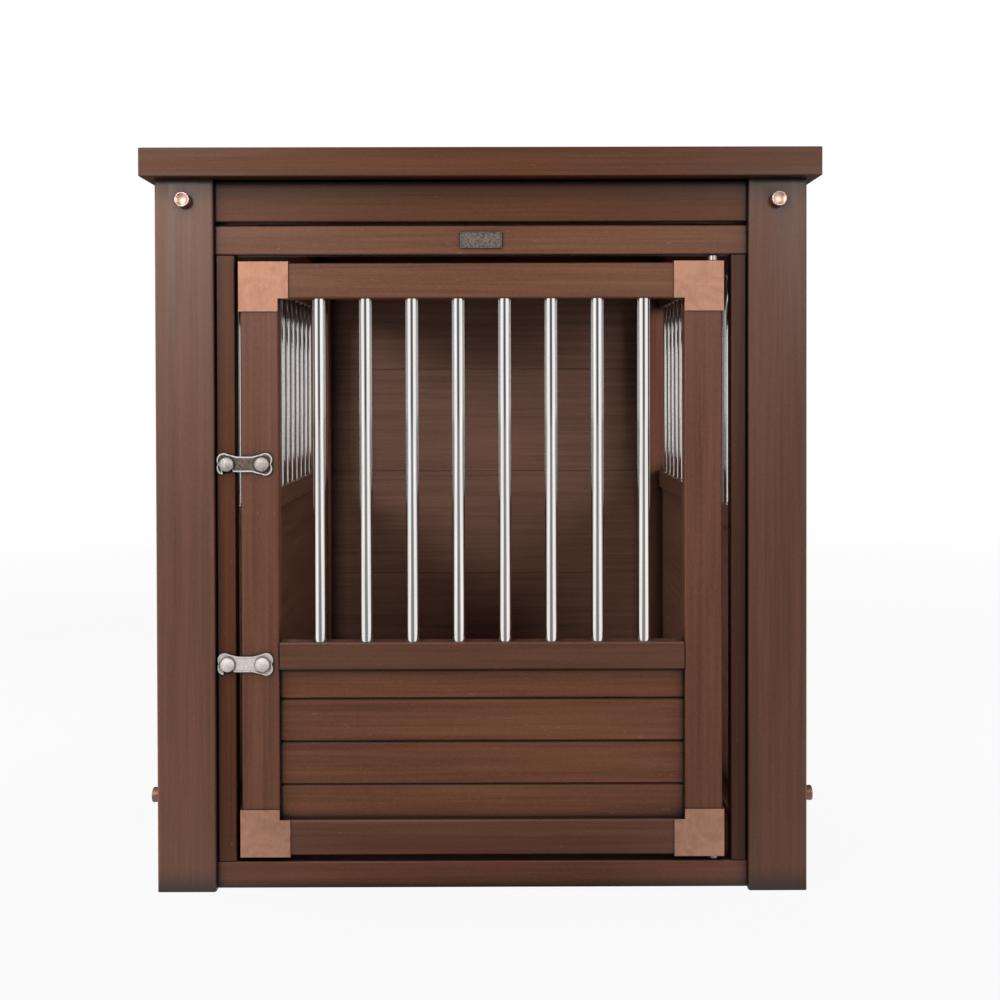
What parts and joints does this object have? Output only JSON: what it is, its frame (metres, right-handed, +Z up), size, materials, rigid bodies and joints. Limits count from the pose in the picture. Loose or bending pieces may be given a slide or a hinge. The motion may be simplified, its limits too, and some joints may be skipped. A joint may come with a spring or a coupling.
{
  "type": "dog crate end table",
  "caption": "Furniture-style dog crate under a table top: wood composite posts and slatted walls, barred windows, and a barred door with corner brackets and swinging latches.",
  "frame": {"origin": "on the floor under the middle of the table top", "axes": "front faces -Y, +X is the right side seen from the front, +Z up"},
  "size_m": [0.781, 1.086, 0.861],
  "materials": {
    "composite_board": "satin",
    "door_board": "satin",
    "steel_bar": "polished",
    "nickel": "satin",
    "copper": "satin"
  },
  "bodies": {
    "crate": {"tabletop_front_edge": "composite_board", "tabletop_rear_edge": "composite_board", "tabletop_left_edge": "composite_board", "tabletop_right_edge": "composite_board", "tabletop_board_1": "composite_board", "tabletop_board_2": "composite_board", "tabletop_board_3": "composite_board", "tabletop_board_4": "composite_board", "tabletop_board_5": "composite_board", "front_left_post": "composite_board", "front_right_post": "composite_board", "rear_left_post": "composite_board", "rear_right_post": "composite_board", "front_apron": "composite_board", "front_header": "composite_board", "front_sill": "composite_board", "latch_jamb": "composite_board", "hinge_jamb": "composite_board", "header_blank_plate": "nickel", "left_top_rail": "composite_board", "left_middle_rail": "composite_board", "left_bottom_rail": "composite_board", "left_lower_boards": "composite_board", "left_window_bars": "steel_bar", "right_top_rail": "composite_board", "right_middle_rail": "composite_board", "right_bottom_rail": "composite_board", "right_lower_boards": "composite_board", "right_window_bars": "steel_bar", "rear_bottom_rail": "composite_board", "rear_board_1": "composite_board", "rear_board_2": "composite_board", "rear_board_3": "composite_board", "rear_board_4": "composite_board", "floor_panel": "composite_board", "upper_catch_knob": "nickel", "lower_catch_knob": "nickel", "front_left_high_bolt": "copper", "front_left_low_bolt": "copper", "front_right_high_bolt": "copper", "front_right_low_bolt": "copper", "rear_left_high_bolt": "copper", "rear_left_low_bolt": "copper", "rear_right_high_bolt": "copper", "rear_right_low_bolt": "copper"},
    "door": {"door_latch_stile": "door_board", "door_hinge_stile": "door_board", "door_top_rail": "door_board", "door_middle_rail": "door_board", "door_bottom_rail": "door_board", "door_slatted_panel": "door_board", "door_bars": "steel_bar", "upper_latch_side_bracket": "copper", "lower_latch_side_bracket": "copper", "upper_hinge_side_bracket": "copper", "lower_hinge_side_bracket": "copper", "upper_pivot_pin": "steel_bar", "lower_pivot_pin": "steel_bar"},
    "upper_latch": {"upper_latch_plate": "nickel"},
    "lower_latch": {"lower_latch_plate": "nickel"}
  },
  "joints": [
    {"name": "door_hinge", "type": "hinge", "parent": "crate", "child": "door", "pos_m": [0.2715, -0.505, 0], "axis": [0, 0, 1], "range_deg": [0, 118]},
    {"name": "upper_latch_turn", "type": "hinge", "parent": "door", "child": "upper_latch", "pos_m": [-0.2555, -0.515, 0.4975], "axis": [0, 1, 0], "range_deg": [0, 270]},
    {"name": "lower_latch_turn", "type": "hinge", "parent": "door", "child": "lower_latch", "pos_m": [-0.2555, -0.515, 0.264], "axis": [0, 1, 0], "range_deg": [0, 270]}
  ]
}
